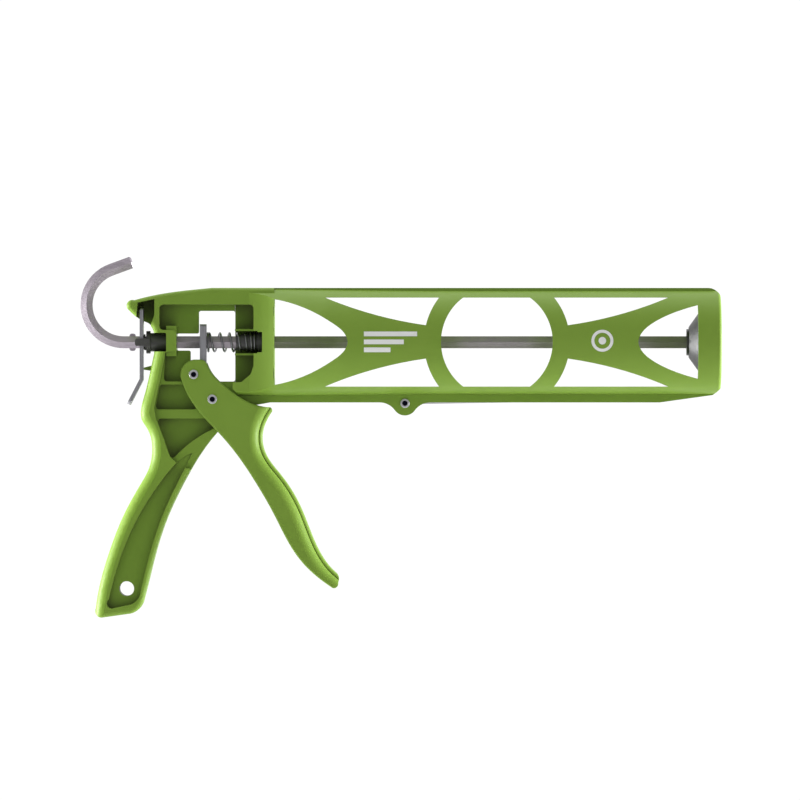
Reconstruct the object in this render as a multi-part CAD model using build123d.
from build123d import *
import os
from math import atan2, cos, degrees, hypot, radians, sin

# Skeleton caulking gun for 310 ml cartridges: a one-piece moulded frame (handle, post and open
# cradle), a straddling trigger, and a hexagonal push rod driven by a gripping plate.
#
# Millimetres, +Z up, +X towards the nozzle.  The origin is on the rod's axis, at the face of the
# post that the back of the cartridge rests against.  The cradle's wall is on the -Y side and the
# cartridge goes in from +Y.  Outlines are drawn in the X-Z plane as (x, z).

os.makedirs("parts", exist_ok=True)

# ---- driving dimensions -------------------------------------------------------------------------

# push rod: 1/4 inch hexagon, corners towards +Y and -Y
ROD_FLATS = 6.35
ROD_CORNER = ROD_FLATS / 2 / cos(radians(30))
ROD_ROOM = 0.3
GRIP_ROOM = 0.15
BORE_GAP = 0.06
FIT_GAP = 0.05
HOOK_X = -79.8
HOOK_RADIUS = 19.8
HOOK_TIP_ANGLE = 20.0
HOOK_TIP_LENGTH = 12.0
STOP_X = -75.2
STOP_LENGTH = 3.2
STOP_HALF_HEIGHT = 4.6
STOP_THICK = 3.2

# cradle
INNER_RADIUS = 25.5
SHELL_RADIUS = 27.9
RAIL_TOP = 28.7
CRADLE_INSIDE = 231.5
NOSE_PLATE = 4.5
CRADLE_END = CRADLE_INSIDE + NOSE_PLATE
NOSE_BAND = 12.4
NOSE_CHAMFER = 6.0
NOSE_HIGH = 24.4
NOSE_ROUND = 1.8
WINDOW_HALF = 23.5
SHELL_EDGE_Y = 1.5
NOSE_EDGE_Y = 14.0
SEAT_RADIUS = 22.0
SEAT_RAISED = 0.3
KEEL_BOTTOM = -31.9
KEEL_HALF = 5.0
RAIL_HALF = 6.5
NOZZLE_SLOT = 18.0
RING_X = 117.5
RING_OUTER = 38.4
RING_INNER = 29.4

# handle: half thicknesses of its side faces, its inner ribs, its mid web and the grip's web, and
# the two faces of the web beside the post
SIDE = 12.0
RIB = 7.8
LOW_RIB = 5.0
WEB = 2.0
GRIP_WEB = 7.0
POST_WEB = (4.5, 7.5)
WINDOW_END_X = -20.9
EDGE_ROUND = 2.6
ROUNDED_TO_X = -34.0
FLARE_LENGTH = 17.5
FLARE_HALF = 17.4
FAR = 40.0
HANG_HOLE = (-78.1, -130.4)
HANG_RADIUS = 3.9
REAR_EDGE = [
    (-63.6, -6.0), (-65.7, -15.8), (-68.2, -26.4), (-70.4, -34.9), (-70.2, -40.7), (-66.9, -46.3),
    (-64.6, -57.0), (-66.3, -66.7), (-70.8, -75.2), (-80.0, -92.1), (-86.7, -109.1), (-91.8, -126.0),
    (-94.5, -141.0),
]
REAR_PROFILE = [[(0, -4.9), (1.6, -2.1), (4.7, -0.6)]]

# trigger and its pins
PIVOT = (-32.7, -30.2)
DRIVE_PIN = (-42.6, -17.1)
CHEEK_INNER = 8.3
CHEEK_OUTER = 11.6
CHEEK_ROUND = 1.0
FINGER_EDGE = [
    (-1.8, -37.4), (-4.0, -41.2), (-6.2, -48.0), (-4.9, -58.2), (4.0, -70.9), (14.3, -87.9),
    (21.1, -104.8), (25.4, -113.3), (32.6, -122.0),
]
FINGER_PROFILE = [
    [(0, -6.3), (0.5, -4.8), (1.6, -4.2)],
    [(1.6, -4.2), (1.8, -4.7)],
    [(1.8, -4.7), (3.5, -1.6), (6.8, 0)],
]
RIVET_SHANK = 2.0
RIVET_HEAD = 2.5
RIVET_HEAD_HEIGHT = 0.8
RIVET_HEAD_ROUND = 0.45
RIVET_HOLE = 1.4
RIVET_HOLE_DEPTH = 4.0
SLEEVE_RADIUS = 3.2
ROLLER_RADIUS = 3.0
ROLLER_HALF = 7.9
ROLLER_ROOM = 0.7
SPACER_RADIUS = 4.8

# drive plate, spring and bushes
DRIVE_PLATE_X = -39.4
DRIVE_PLATE_THICK = 3.4
DRIVE_PLATE_HALF = 7.4
DRIVE_PLATE_TOP = 9.5
DRIVE_PLATE_BOTTOM = -20.2
SPRING_RADIUS = 5.45
SPRING_WIRE = 1.1
SPRING_ROOM = 0.5
SPRING_END = -8.9
FRONT_BUSH_START = -20.4
FRONT_BUSH_END = -6.4
FRONT_BUSH_RADIUS = 4.25
FRONT_COLLAR_RADIUS = 5.3
FRONT_COLLAR_LENGTH = 2.4
REAR_BUSH_START = -67.9
REAR_BUSH_END = -57.1
REAR_BUSH_RADIUS = 4.9
REAR_FLANGE_RADIUS = 6.0
REAR_FLANGE_LENGTH = 2.2

# release plate
RELEASE_X = -71.3
RELEASE_THICK = 1.9
RELEASE_TOP = 18.7
RELEASE_BEND = -19.4
RELEASE_END = (-78.0, -32.4)
RELEASE_HALF = 6.5
RELEASE_WAIST = 4.9
ARM_INNER = 5.2
ARM_OUTER = 6.7

RELEASE_SPRING_RADIUS = 4.4
RELEASE_SPRING_WIRE = 0.5
BEAK_WALL = 7.2

# plunger at the nose end of the rod
PLUNGER_BACK = 218.3
PLUNGER_FRONT = 230.9
PLUNGER_BACK_RADIUS = 7.0
PLUNGER_RADIUS = 22.0
PLUNGER_SHEET = 1.2
STUD_RADIUS = 2.9
STUD_END = 226.0
WASHER_THICK = 1.0
WASHER_RADIUS = 5.8
NUT_FLATS = 10.0
NUT_HEIGHT = 4.5

# puncture wire
WIRE_PIVOT = (69.1, -32.3)
WIRE_RADIUS = 1.2
WIRE_LENGTH = 68.0
WIRE_EYE = 3.2
WIRE_BOSS = 6.5
WIRE_SLOT_HALF = 1.55
WIRE_SLOT_TOP = -28.9
WIRE_RISE = 0.6


# ---- helpers ------------------------------------------------------------------------------------

def outline(*stretches):
    """A closed face: two points make a line, three an arc, more a smooth curve."""
    edges = []
    for points in stretches:
        if len(points) == 2:
            edges.append(Line(*points))
        elif len(points) == 3:
            edges.append(ThreePointArc(*points))
        else:
            edges.append(Spline(*points))
    return make_face(Curve() + edges)


def polygon(*points, rounded=0.0):
    """A closed face with straight sides and, if asked, rounded corners."""
    face = make_face(Polyline(*points, close=True))
    if rounded:
        face = fillet(face.vertices(), rounded)
    return face


def slab(face, half_width):
    """A face of the X-Z plane as a slab from -half_width to +half_width in Y."""
    return extrude(Plane.XZ * face, half_width, both=True)


def side_slabs(face, inner, outer):
    """A face of the X-Z plane as two slabs, between inner and outer on both sides of Y = 0."""
    return slab(face, outer) - slab(face, inner)


def box(x, y, z):
    """A box from its limits along each axis."""
    centre = Pos((x[0] + x[1]) / 2, (y[0] + y[1]) / 2, (z[0] + z[1]) / 2)
    return centre * Box(x[1] - x[0], y[1] - y[0], z[1] - z[0])


def rod_cylinder(start, end, radius):
    """A round bar along the rod's axis."""
    return Pos((start + end) / 2, 0, 0) * Rot(0, 90, 0) * Cylinder(radius, end - start)


def rod_cone(start, end, start_radius, end_radius):
    """A tapering round bar along the rod's axis."""
    return Pos((start + end) / 2, 0, 0) * Rot(0, 90, 0) * Cone(start_radius, end_radius, end - start)


def pin_cylinder(centre, radius, half_width):
    """A round bar across the gun, centred on Y = 0."""
    return Pos(centre[0], 0, centre[1]) * Rot(90, 0, 0) * Cylinder(radius, 2 * half_width)


def hexagon(x, gap=0.0):
    """The rod's section at x, with corners towards +Y and -Y."""
    section = RegularPolygon(ROD_FLATS / 2 + gap, 6, major_radius=False)
    return Plane.YZ.offset(x) * section


def hex_bar(start, end, gap=0.0):
    """A hexagonal bar along the rod's axis."""
    return extrude(hexagon(start, gap), end - start)


def edge_trim(points, half_width, side, profile):
    """The material beyond a profile along an outline's smooth edge, on both faces of a slab.

    The profile's points are (inwards from the edge, outwards from the face).  side is 1 if the
    slab lies to the left of the edge and -1 if it lies to the right.
    """
    edge = Spline(*points)
    first = edge.tangent_at(0)
    start = edge @ 0 - first * 4
    end = edge @ 1 + edge.tangent_at(1) * 8
    path = Curve() + [Line(start, edge @ 0), edge, Line(edge @ 1, end)]
    inward = Vector(-first.Y, first.X) * side
    across = Plane(origin=(start.X, start.Y, half_width), x_dir=inward, z_dir=first)
    stretches = [[(u, v * side) for u, v in stretch] for stretch in profile]
    low = stretches[0][0]
    high = stretches[-1][-1]
    beyond = [high, (high[0], side), (-2, side), (-2, low[1]), low]
    section = outline(*stretches, *zip(beyond, beyond[1:]))
    trim = Plane.XZ * sweep(across * section, path=Pos(0, 0, half_width) * path)
    return trim + mirror(trim, Plane.XZ)


def mirrored(solid):
    """A solid and its copy mirrored in the plane through the rod's axis, Z = 0."""
    return solid + mirror(solid, Plane.XY)


# ---- frame --------------------------------------------------------------------------------------

def handle_outline():
    """The side view of the beak, the spine, the post and the pistol grip."""
    return outline(
        [(0, RAIL_TOP), (-33, RAIL_TOP)],
        [(-33, RAIL_TOP), (-48, 27.2), (-61, 25.3), (-74, 22.2)],
        [(-74, 22.2), (-78.0, 19.9), (-77.4, 17.4)],
        [(-77.4, 17.4), (-73.7, 13.9), (-71.0, 11.9), (-67.0, 10.1), (-64.6, 7.6), (-63.7, 3.0)],
        [(-63.7, 3.0), (-63.6, -6.0)],
        REAR_EDGE,
        [(-94.5, -141.0), (-93.9, -144.5), (-91.0, -145.7)],
        [(-91.0, -145.7), (-77.5, -143.8)],
        [(-77.5, -143.8), (-71.9, -141.5), (-69.2, -137.0)],
        [
            (-69.2, -137.0), (-66.4, -126.0), (-62.1, -109.1), (-56.3, -92.1), (-48.3, -75.2),
            (-38.4, -58.2), (-30.2, -47.6),
        ],
        [(-30.2, -47.6), (-22.0, -41.5), (-17.0, -34.6)],
        [(-17.0, -34.6), (-2.5, KEEL_BOTTOM)],
        [(-2.5, KEEL_BOTTOM), (0, KEEL_BOTTOM)],
        [(0, KEEL_BOTTOM), (0, RAIL_TOP)],
    )


def upper_pocket():
    """The pocket around the drive plate, down to the gusset of the post."""
    return polygon(
        (-60.7, 6.4), (-60.7, 19.9), (-10.9, 19.9), (-10.9, -12.6), (-12.4, -17.0), (-17.4, -21.2),
        (-44.0, -21.2), (-51.7, -9.0), (-51.7, 6.4), rounded=2.2,
    )


def post_pocket():
    """The end of the upper pocket beside the post, where the web is set back."""
    return upper_pocket() & Pos(WINDOW_END_X + 20, 0) * Rectangle(40, 80)


def web_window():
    """The opening right through the web, where the drive plate travels."""
    return polygon(
        (-40.0, 16.6), (WINDOW_END_X, 16.6), (WINDOW_END_X, -20.8), (-44.4, -20.8), (-44.4, -4.4),
        (-51.7, -4.4), (-51.7, 4.6), (-40.0, 4.6), rounded=1.0,
    )


def grip_pocket():
    """The long pocket of the pistol grip."""
    return outline(
        [(-43.4, -58.6), (-48.5, -61.2), (-57.5, -70.6), (-68.1, -85.8), (-80.3, -111.2), (-87.4, -136.0)],
        [(-87.4, -136.0), (-87.9, -139.8), (-84.6, -140.6)],
        [(-84.6, -140.6), (-76.6, -138.9)],
        [(-76.6, -138.9), (-72.6, -136.6), (-70.6, -132.0)],
        [(-70.6, -132.0), (-64.9, -109.1), (-57.0, -86.8), (-48.4, -69.0), (-43.4, -58.6)],
    )


def recess():
    """The area beside the trigger's cheeks, where the handle is only as thick as its ribs."""
    return polygon(
        (-51.7, -4.6), (-57.4, -5.4), (-60.8, -22.0), (-63.5, -34.6), (-62.4, -40.9), (-54.2, -61.4),
        (-50.6, -64.6), (-46.6, -66.6), (-38.0, -68.0), (0.0, -60.0), (0.0, -33.6), (-3.0, -33.4),
        (-12.2, -31.3), (-18.8, -27.8), (-21.9, -25.0), (-21.9, -15.3), (-32.4, -15.3), (-32.4, -4.6),
    )


def post_flare():
    """The sides of the post, which widen smoothly to meet the cradle."""
    half = make_face(
        Polyline((0, FLARE_HALF), (0, 0), (-FLARE_LENGTH, 0), (-FLARE_LENGTH, SIDE - 0.5))
        + ThreePointArc((-FLARE_LENGTH, SIDE - 0.5), (-7.5, 13.6), (0, FLARE_HALF))
    )
    post = extrude(half, RAIL_TOP, both=True)
    post += mirror(post, Plane.XZ)
    return post & rod_cylinder(-20, 1, RAIL_TOP)


def lower_pocket():
    """The pocket under the rear bush."""
    return polygon((-57.4, -5.0), (-58.6, -20.8), (-43.0, -20.8), (-43.0, -5.0), rounded=1.8)


def middle_pocket():
    """The pocket behind the trigger pivot."""
    return polygon((-60.6, -22.4), (-63.0, -35.6), (-41.0, -35.6), (-41.0, -22.4), rounded=1.6)


def heel_pocket():
    """The triangular pocket at the root of the grip."""
    face = outline(
        [(-62.2, -40.4), (-33.0, -40.4)],
        [(-33.0, -40.4), (-30.5, -45.0)],
        [(-30.5, -45.0), (-43.6, -52.6), (-54.4, -62.6)],
        [(-54.4, -62.6), (-62.2, -40.4)],
    )
    return fillet(face.vertices(), 1.6)


def beak_pocket():
    """The hollow of the beak that holds the top of the release plate."""
    return polygon(
        (-73.2, 10.0), (-72.2, 21.0), (-63.3, 22.8), (-63.3, 14.5), (-65.2, 9.0), (-66.0, 5.5),
        (-72.0, 5.5),
    )


def handle():
    """Beak, spine, post and pistol grip as one moulding with a thin mid web."""
    body = slab(handle_outline(), SIDE)
    side_edges = [e for e in body.edges() if abs(e.center().Y) > SIDE - 0.01]
    rounded = [e for e in side_edges if e.center().X < ROUNDED_TO_X or e.center().Z > SIDE]
    body = fillet(rounded, EDGE_ROUND)
    body -= edge_trim(REAR_EDGE, SIDE, 1, REAR_PROFILE)
    crown = rod_cylinder(ROUNDED_TO_X, 1, RAIL_TOP)
    for side in (1, -1):
        corner = box((-22, 0), sorted((side * KEEL_HALF, side * 13)), (-33, -20))
        body -= corner - crown
    body += post_flare()
    body -= side_slabs(recess(), RIB, FAR)
    for pocket in (upper_pocket(), lower_pocket(), middle_pocket(), heel_pocket()):
        body -= side_slabs(pocket, WEB, FAR)
    body -= side_slabs(grip_pocket(), GRIP_WEB, FAR)
    body -= slab(post_pocket(), FAR)
    body += extrude(Plane.XZ.offset(-POST_WEB[0]) * post_pocket(), POST_WEB[0] - POST_WEB[1])
    body -= slab(web_window(), FAR)
    body -= pin_cylinder(HANG_HOLE, HANG_RADIUS, FAR)
    body -= extrude(Plane.XZ.offset(-BEAK_WALL) * beak_pocket(), 30)
    # wall that holds the rear bush, rib under the roller, ribs beside the spring, stop of the release plate
    body += box((REAR_BUSH_END, -51.7), (-SIDE + 1.5, SIDE - 1.5), (-7.4, 8.6))
    body += box((-59.0, -43.0), (-LOW_RIB, LOW_RIB), (-22.4, -20.8))
    rib_z = SPRING_RADIUS + SPRING_ROOM
    body += mirrored(box((WINDOW_END_X, -10.9), (-LOW_RIB, LOW_RIB), (rib_z, rib_z + 1.0)))
    body += slab(polygon((-62.0, -11.6), (-69.1, -13.4), (-69.1, -14.6), (-62.0, -15.6)), 3.0)
    return body - pin_cylinder(DRIVE_PIN, ROLLER_RADIUS + ROLLER_ROOM, FAR)


def side_window(tip, *upper):
    """A window with a smooth rounded tip: its upper edge passes through the points."""
    lower = [(x, -z) for x, z in reversed(upper)]
    return outline([*upper, (tip, 0), *lower], [lower[-1], upper[0]])


def rail_window():
    """The three-cornered window beside the ring, under the top rail, rear side."""
    ring_low = 8.8
    ring_low_x = RING_X - (RING_OUTER ** 2 - ring_low ** 2) ** 0.5
    ring_high_x = RING_X - (RING_OUTER ** 2 - WINDOW_HALF ** 2) ** 0.5
    ring_mid_x = RING_X - RING_OUTER * cos(radians(25))
    ring_mid = RING_OUTER * sin(radians(25))
    return outline(
        [(26.9, WINDOW_HALF), (52.0, 14.7), (ring_low_x, ring_low)],
        [(ring_low_x, ring_low), (ring_mid_x, ring_mid), (ring_high_x, WINDOW_HALF)],
        [(ring_high_x, WINDOW_HALF), (26.9, WINDOW_HALF)],
    )


def cradle_windows():
    """All the windows of the cradle's wall."""
    between_rails = Rectangle(90, 2 * WINDOW_HALF)
    ring = slab(Pos(RING_X, 0) * (Circle(RING_INNER) & between_rails), FAR)
    corner = slab(rail_window(), FAR)
    corners = mirrored(corner + mirror(corner, Plane.YZ.offset(RING_X)))
    rear = side_window(38.9, (-0.2, 22.7), (11.5, 19.7), (22.0, 15.2), (31.5, 9.5), (37.3, 4.4))
    front = side_window(
        192.0, (CRADLE_END - NOSE_BAND, 19.4), (215.0, 16.9), (206.7, 13.7), (199.0, 9.5), (193.7, 4.6),
    )
    return ring + corners + slab(rear, FAR) + slab(front, FAR)


def wire_boss():
    """The lobe under the keel that carries the puncture wire, blended into the keel."""
    x, z = WIRE_PIVOT
    low = WIRE_BOSS * sin(radians(38))
    wide = WIRE_BOSS * cos(radians(38))
    face = outline(
        [(x - 13, KEEL_BOTTOM), (x - 8.5, z - 0.9), (x - wide, z - low)],
        [(x - wide, z - low), (x, z - WIRE_BOSS), (x + wide, z - low)],
        [(x + wide, z - low), (x + 8.5, z - 0.9), (x + 13, KEEL_BOTTOM)],
        [(x + 13, KEEL_BOTTOM), (x + 13, -28.5)],
        [(x + 13, -28.5), (x - 13, -28.5)],
        [(x - 13, -28.5), (x - 13, KEEL_BOTTOM)],
    )
    return slab(face, KEEL_HALF)


def nose_corners():
    """What is cut from the front end of the cradle, above and below, to round it off."""
    x = CRADLE_END
    start = x - NOSE_CHAMFER
    top = outline(
        [(start, RAIL_TOP), (x - 2.0, 27.1), (x, NOSE_HIGH)],
        [(x, NOSE_HIGH), (x + 1, NOSE_HIGH)],
        [(x + 1, NOSE_HIGH), (x + 1, FAR)],
        [(x + 1, FAR), (start, FAR)],
        [(start, FAR), (start, RAIL_TOP)],
    )
    start = x - NOSE_BAND
    bottom = outline(
        [(start, -30.9), (x - 3.6, -27.7), (x, -NOSE_HIGH)],
        [(x, -NOSE_HIGH), (x + 1, -NOSE_HIGH)],
        [(x + 1, -NOSE_HIGH), (x + 1, -FAR)],
        [(x + 1, -FAR), (start, -FAR)],
        [(start, -FAR), (start, -30.9)],
    )
    return slab(top, FAR) + slab(bottom, FAR)


def cradle():
    """Half-round wall with its windows, rails, keel and nose plate."""
    taper = 85.0
    wall = rod_cone(0, taper, RAIL_TOP, SHELL_RADIUS)
    shell = rod_cylinder(taper, CRADLE_END, SHELL_RADIUS)
    wall += fillet(shell.edges().filter_by(GeomType.CIRCLE).sort_by(Axis.X)[-1], NOSE_ROUND)
    rails_end = CRADLE_END - NOSE_ROUND
    wall += slab(polygon((0, 20), (0, RAIL_TOP), (rails_end, RAIL_TOP), (rails_end, 20)), RAIL_HALF)
    keel = polygon(
        (0, -20), (0, KEEL_BOTTOM), (CRADLE_END - 32.0, KEEL_BOTTOM), (rails_end, -27.7), (rails_end, -20),
    )
    wall += slab(keel, KEEL_HALF)
    wall += wire_boss()
    wall -= rod_cylinder(-1, CRADLE_INSIDE, INNER_RADIUS)
    # open side
    wall -= box((-1, CRADLE_INSIDE), (SHELL_EDGE_Y, FAR), (-WINDOW_HALF - 2, WINDOW_HALF + 2))
    wall -= box((-1, CRADLE_INSIDE), (KEEL_HALF, FAR), (-FAR, FAR))
    wall -= box((CRADLE_INSIDE - 1, CRADLE_END + 1), (NOSE_EDGE_Y, FAR), (-FAR, FAR))
    wall -= cradle_windows() + nose_corners()
    slot = box((CRADLE_INSIDE - 1, CRADLE_END + 1), (0, FAR), (-NOZZLE_SLOT / 2, NOZZLE_SLOT / 2))
    slot += rod_cylinder(CRADLE_INSIDE - 1, CRADLE_END + 1, NOZZLE_SLOT / 2)
    return wall - slot


def frame():
    """The whole green moulding."""
    body = handle() + cradle()
    # bores and seats
    body -= rod_cylinder(REAR_BUSH_END - 1, 1, ROD_CORNER + ROD_ROOM)
    body -= rod_cylinder(-SEAT_RAISED, 0.1, INNER_RADIUS) - rod_cylinder(-1, 1, SEAT_RADIUS)
    seat = REAR_BUSH_RADIUS + FIT_GAP
    body -= rod_cylinder(-70, REAR_BUSH_END, seat)
    body -= box((-70, REAR_BUSH_END), (-20, 0), (-seat, seat))
    collar_start = FRONT_BUSH_END - FRONT_COLLAR_LENGTH
    spring_room = SPRING_RADIUS + SPRING_ROOM
    body -= rod_cylinder(-21, collar_start, spring_room)
    body -= box((-21, collar_start), (-20, 0), (-spring_room, spring_room))
    seat = FRONT_COLLAR_RADIUS + FIT_GAP
    body -= rod_cylinder(collar_start, FRONT_BUSH_END + FIT_GAP, seat)
    body -= box((collar_start, FRONT_BUSH_END + FIT_GAP), (-20, 0), (-seat, seat))
    body -= pin_cylinder(PIVOT, SLEEVE_RADIUS + 0.01, FAR)
    # puncture wire: slot, eye room and rivet hole
    wire_end = WIRE_PIVOT[0] + WIRE_LENGTH + 5.0
    body -= box((WIRE_PIVOT[0] - 4.2, wire_end), (-WIRE_SLOT_HALF, WIRE_SLOT_HALF), (-45, WIRE_SLOT_TOP))
    body -= pin_cylinder(WIRE_PIVOT, RIVET_SHANK + 0.01, FAR)
    return body


# ---- trigger ------------------------------------------------------------------------------------

def trigger_outline():
    """The side view of the cheeks and the finger lever."""
    return outline(
        [(-49.6, -18.0), (-47.7, -12.1), (-42.5, -9.2)],
        [(-42.5, -9.2), (-39.0, -9.2)],
        [(-39.0, -9.2), (-36.8, -9.9), (-35.5, -11.6)],
        [(-35.5, -11.6), (-30.1, -19.8), (-24.6, -24.4), (-19.3, -28.5), (-12.5, -32.2), (-3.6, -34.4)],
        [(-3.6, -34.4), (-1.4, -35.4), (-1.8, -37.4)],
        FINGER_EDGE,
        [(32.6, -122.0), (34.1, -124.5), (33.7, -127.4)],
        [(33.7, -127.4), (32.6, -129.9), (30.2, -129.6)],
        [
            (30.2, -129.6), (25.1, -126.0), (15.8, -117.6), (9.4, -109.1), (0.4, -92.1), (-9.2, -75.2),
            (-20.7, -58.2), (-29.9, -47.4), (-37.2, -39.8), (-44.8, -29.6), (-49.6, -18.0),
        ],
    )


def trigger_channel():
    """The open space between the cheeks and behind the lever's front wall."""
    return outline(
        [(-60.0, 0.0), (0.0, 0.0)],
        [(0.0, 0.0), (-7.0, -32.0)],
        [
            (-7.0, -32.0), (-11.8, -41.0), (-12.8, -49.5), (-11.2, -60.2), (-2.2, -73.8), (7.6, -90.4),
            (12.4, -102.5),
        ],
        [(12.4, -102.5), (12.2, -109.5), (6.0, -112.0)],
        [(6.0, -112.0), (-60.0, -112.0)],
        [(-60.0, -112.0), (-60.0, 0.0)],
    )


def trigger():
    """Two cheeks that straddle the frame, joined by the front wall of the finger lever."""
    body = slab(trigger_outline(), CHEEK_OUTER)
    body = fillet([e for e in body.edges() if abs(e.center().Y) > CHEEK_OUTER - 0.01], CHEEK_ROUND)
    body -= edge_trim(FINGER_EDGE, CHEEK_OUTER, -1, FINGER_PROFILE)
    body -= slab(trigger_channel(), CHEEK_INNER)
    for pin in (PIVOT, DRIVE_PIN):
        body -= pin_cylinder(pin, RIVET_SHANK + 0.01, FAR)
    return body


def rivet(centre, half_width):
    """A semi-tubular rivet across the gun, its rolled end towards -Y."""
    body = pin_cylinder(centre, RIVET_SHANK, half_width)
    body += pin_cylinder(centre, RIVET_HEAD, half_width + RIVET_HEAD_HEIGHT)
    body -= pin_cylinder(centre, RIVET_HEAD + 1, half_width) - pin_cylinder(centre, RIVET_SHANK, half_width)
    hole_y = -half_width - RIVET_HEAD_HEIGHT + RIVET_HOLE_DEPTH / 2
    body -= Pos(centre[0], hole_y, centre[1]) * Rot(90, 0, 0) * Cylinder(RIVET_HOLE, RIVET_HOLE_DEPTH)
    circles = body.edges().filter_by(GeomType.CIRCLE)
    rims = [e for e in circles if abs(e.radius - RIVET_HEAD) < 0.01]
    outer_rims = [e for e in rims if abs(e.center().Y) > half_width + RIVET_HEAD_HEIGHT - 0.01]
    return fillet(outer_rims, RIVET_HEAD_ROUND)


def pin_ring(centre, radius, half_width):
    """A ring or sleeve that turns on a rivet's shank."""
    return pin_cylinder(centre, radius, half_width) - pin_cylinder(centre, RIVET_SHANK + FIT_GAP, FAR)


def drive_roller():
    """The hard roller on the upper rivet, which pushes the drive plate."""
    return pin_ring(DRIVE_PIN, ROLLER_RADIUS, ROLLER_HALF)


def pivot_sleeve():
    """The steel sleeve pressed into the frame for the trigger's rivet."""
    return pin_ring(PIVOT, SLEEVE_RADIUS, RIB)


def pivot_washers():
    """A thin washer on each side, between the cheeks and the frame."""
    ring = pin_ring(PIVOT, SPACER_RADIUS, CHEEK_INNER - FIT_GAP)
    return ring - pin_cylinder(PIVOT, SPACER_RADIUS + 1, RIB + FIT_GAP)


# ---- rod, drive and release ---------------------------------------------------------------------

def push_rod():
    """Hexagonal bar with a bent hook, swaged stops and a threaded stud for the plunger."""
    shoulder = PLUNGER_BACK
    body = hex_bar(HOOK_X, shoulder)
    bend = 180 - HOOK_TIP_ANGLE
    body += revolve(hexagon(HOOK_X), Axis((HOOK_X, 0, HOOK_RADIUS), (0, 1, 0)), bend)
    end_angle = radians(90 + HOOK_TIP_ANGLE)
    end_x = HOOK_X + HOOK_RADIUS * cos(end_angle)
    end_z = HOOK_RADIUS + HOOK_RADIUS * sin(end_angle)
    tip = chamfer(hex_bar(0, HOOK_TIP_LENGTH).faces().sort_by(Axis.X)[-1].edges(), 0.7)
    body += Pos(end_x, 0, end_z) * Rot(0, -HOOK_TIP_ANGLE, 0) * tip
    ears = fillet(Rectangle(STOP_LENGTH, 2 * STOP_HALF_HEIGHT).vertices(), 1.2)
    body += slab(Pos(STOP_X, 0) * ears, STOP_THICK / 2)
    return body + rod_cylinder(shoulder, STUD_END, STUD_RADIUS)


def drive_plate():
    """The hardened plate that grips the rod."""
    height = DRIVE_PLATE_TOP - DRIVE_PLATE_BOTTOM
    middle = (DRIVE_PLATE_TOP + DRIVE_PLATE_BOTTOM) / 2
    section = Pos(0, middle) * RectangleRounded(2 * DRIVE_PLATE_HALF, height, 1.5)
    plate = extrude(Plane.YZ.offset(DRIVE_PLATE_X) * section, DRIVE_PLATE_THICK)
    return plate - rod_cylinder(-50, -30, ROD_CORNER + GRIP_ROOM)


def coil_envelope(start, end, radius, wire):
    """The space a coil spring fills, as a thin tube."""
    return rod_cylinder(start, end, radius) - rod_cylinder(start, end, radius - wire)


def front_bush():
    """Sleeve inside the drive spring, with a collar that sits in the post."""
    body = rod_cylinder(FRONT_BUSH_START, FRONT_BUSH_END, FRONT_BUSH_RADIUS)
    body += rod_cylinder(FRONT_BUSH_END - FRONT_COLLAR_LENGTH, FRONT_BUSH_END, FRONT_COLLAR_RADIUS)
    return body - hex_bar(FRONT_BUSH_START - 1, FRONT_BUSH_END + 1, BORE_GAP)


def rear_bush():
    """Flanged sleeve in the rear wall, with an arm along each side of the release plate."""
    flange_end = REAR_BUSH_START + REAR_FLANGE_LENGTH
    body = rod_cylinder(REAR_BUSH_START, REAR_BUSH_END - FIT_GAP, REAR_BUSH_RADIUS)
    body += rod_cylinder(REAR_BUSH_START, flange_end, REAR_FLANGE_RADIUS)
    arm = polygon(
        (flange_end, -1.9), (flange_end, 1.9), (-72.4, 1.9), (-72.9, 2.3), (-73.8, 1.2), (-73.8, -1.2),
        (-72.9, -2.3), (-72.4, -1.9),
    )
    body += side_slabs(arm, ARM_INNER, ARM_OUTER)
    return body - hex_bar(REAR_BUSH_START - 1, REAR_BUSH_END + 1, BORE_GAP)


def release_plate():
    """The thumb lever: a flat strip bent backwards at its lower end."""
    x0 = RELEASE_X
    x1 = RELEASE_X + RELEASE_THICK
    bend_x = RELEASE_END[0] - x0
    bend_z = RELEASE_END[1] - RELEASE_BEND
    length = hypot(bend_x, bend_z)
    across = (-bend_z / length * RELEASE_THICK, bend_x / length * RELEASE_THICK)
    far = (RELEASE_END[0] + across[0], RELEASE_END[1] + across[1])
    turn = degrees(atan2(-bend_x, -bend_z))
    drop = RELEASE_THICK * sin(radians(turn / 2)) / cos(radians(turn / 2))
    profile = polygon(
        (x0, RELEASE_TOP), (x1, RELEASE_TOP), (x1, RELEASE_BEND - drop), far, RELEASE_END,
        (x0, RELEASE_BEND),
    )
    body = slab(profile, RELEASE_HALF)
    corners = [e for e in body.edges().filter_by(Axis.Y, reverse=True) if e.length < RELEASE_THICK + 0.01]
    body = fillet(corners, 2.0)
    body -= rod_cylinder(x0 - 1, x1 + 1, ROD_CORNER + GRIP_ROOM)
    waist = box((x0 - 1, x1 + 1), (RELEASE_WAIST, 20), (-2.9, 2.9))
    return body - waist - mirror(waist, Plane.XZ)


def drive_spring():
    """The spring between the drive plate and the collar of the front bush."""
    start = DRIVE_PLATE_X + DRIVE_PLATE_THICK + FIT_GAP
    return coil_envelope(start, SPRING_END, SPRING_RADIUS, SPRING_WIRE)


def release_spring():
    """The small spring between the release plate and the rear bush."""
    start = RELEASE_X + RELEASE_THICK + FIT_GAP
    end = REAR_BUSH_START - FIT_GAP
    return coil_envelope(start, end, RELEASE_SPRING_RADIUS, RELEASE_SPRING_WIRE)


# ---- plunger ------------------------------------------------------------------------------------

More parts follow.
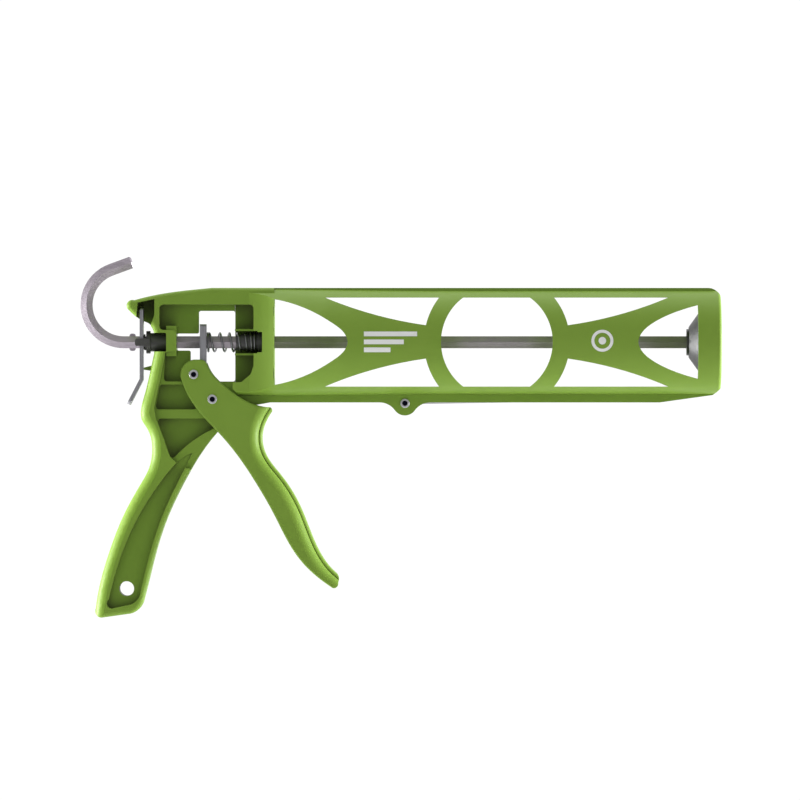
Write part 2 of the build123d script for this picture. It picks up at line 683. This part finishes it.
def plunger_cup():
    """A stamped conical dish, open towards the cartridge."""
    base = PLUNGER_BACK + PLUNGER_SHEET
    rim = PLUNGER_FRONT
    sheet = PLUNGER_SHEET
    slope = atan2(PLUNGER_RADIUS - PLUNGER_BACK_RADIUS - 1.2, rim - 1.5 - base)
    thick_r = sheet / cos(slope)
    half = make_face(Polyline(
        (base, STUD_RADIUS + FIT_GAP), (base, PLUNGER_BACK_RADIUS + 1.2), (rim - 1.5, PLUNGER_RADIUS),
        (rim, PLUNGER_RADIUS), (rim, PLUNGER_RADIUS - sheet), (rim - 1.0, PLUNGER_RADIUS - sheet),
        (base + sheet, PLUNGER_BACK_RADIUS + 1.2 + sheet * sin(slope) - thick_r + sheet),
        (base + sheet, STUD_RADIUS + FIT_GAP), close=True,
    ))
    return revolve(Plane.XZ * half, Axis.X)


def stud_ring(start, end, radius):
    """A ring that fits on the rod's stud."""
    return rod_cylinder(start, end, radius) - rod_cylinder(start - 1, end + 1, STUD_RADIUS + FIT_GAP)


def plunger_backing():
    """The thick disc behind the cup."""
    start = PLUNGER_BACK + 0.01
    return stud_ring(start, start + PLUNGER_SHEET - 0.02, PLUNGER_BACK_RADIUS)


def plunger_washer():
    """The washer under the nut."""
    start = PLUNGER_BACK + 2 * PLUNGER_SHEET + 0.01
    return stud_ring(start, start + WASHER_THICK, WASHER_RADIUS)


def plunger_nut():
    """The nut on the rod's stud."""
    start = PLUNGER_BACK + 2 * PLUNGER_SHEET + WASHER_THICK + 0.03
    section = Plane.YZ.offset(start) * RegularPolygon(NUT_FLATS / 2, 6, major_radius=False)
    nut = extrude(section, NUT_HEIGHT)
    return nut - rod_cylinder(start - 1, start + NUT_HEIGHT + 1, STUD_RADIUS + 0.02)


# ---- puncture wire ------------------------------------------------------------------------------

def puncture_wire():
    """A straight wire with an eye round its rivet, folded along the keel's slot."""
    x, z = WIRE_PIVOT
    body = pin_cylinder(WIRE_PIVOT, WIRE_EYE, WIRE_RADIUS)
    straight = Pos(WIRE_LENGTH / 2, 0, 0) * Rot(0, 90, 0) * Cylinder(WIRE_RADIUS, WIRE_LENGTH)
    point = Pos(WIRE_LENGTH + 1.5, 0, 0) * Rot(0, 90, 0) * Cone(WIRE_RADIUS, 0.3, 3.0)
    body += Pos(x, 0, z + WIRE_RISE) * Rot(0, -1.0, 0) * (straight + point)
    return body - pin_cylinder(WIRE_PIVOT, RIVET_SHANK + FIT_GAP, FAR)


# ---- one STEP file for each node ----------------------------------------------------------------

NODES = {
    "frame": frame,
    "trigger": trigger,
    "trigger_pivot_rivet": lambda: rivet(PIVOT, CHEEK_OUTER),
    "drive_pin_rivet": lambda: rivet(DRIVE_PIN, CHEEK_OUTER),
    "puncture_rivet": lambda: rivet(WIRE_PIVOT, KEEL_HALF),
    "drive_roller": drive_roller,
    "pivot_sleeve": pivot_sleeve,
    "pivot_washers": pivot_washers,
    "push_rod": push_rod,
    "drive_plate": drive_plate,
    "drive_spring": drive_spring,
    "front_bush": front_bush,
    "rear_bush": rear_bush,
    "release_plate": release_plate,
    "release_spring": release_spring,
    "plunger_cup": plunger_cup,
    "plunger_backing": plunger_backing,
    "plunger_washer": plunger_washer,
    "plunger_nut": plunger_nut,
    "puncture_wire": puncture_wire,
}

for name, make in NODES.items():
    export_step(make(), f"parts/{name}.step")
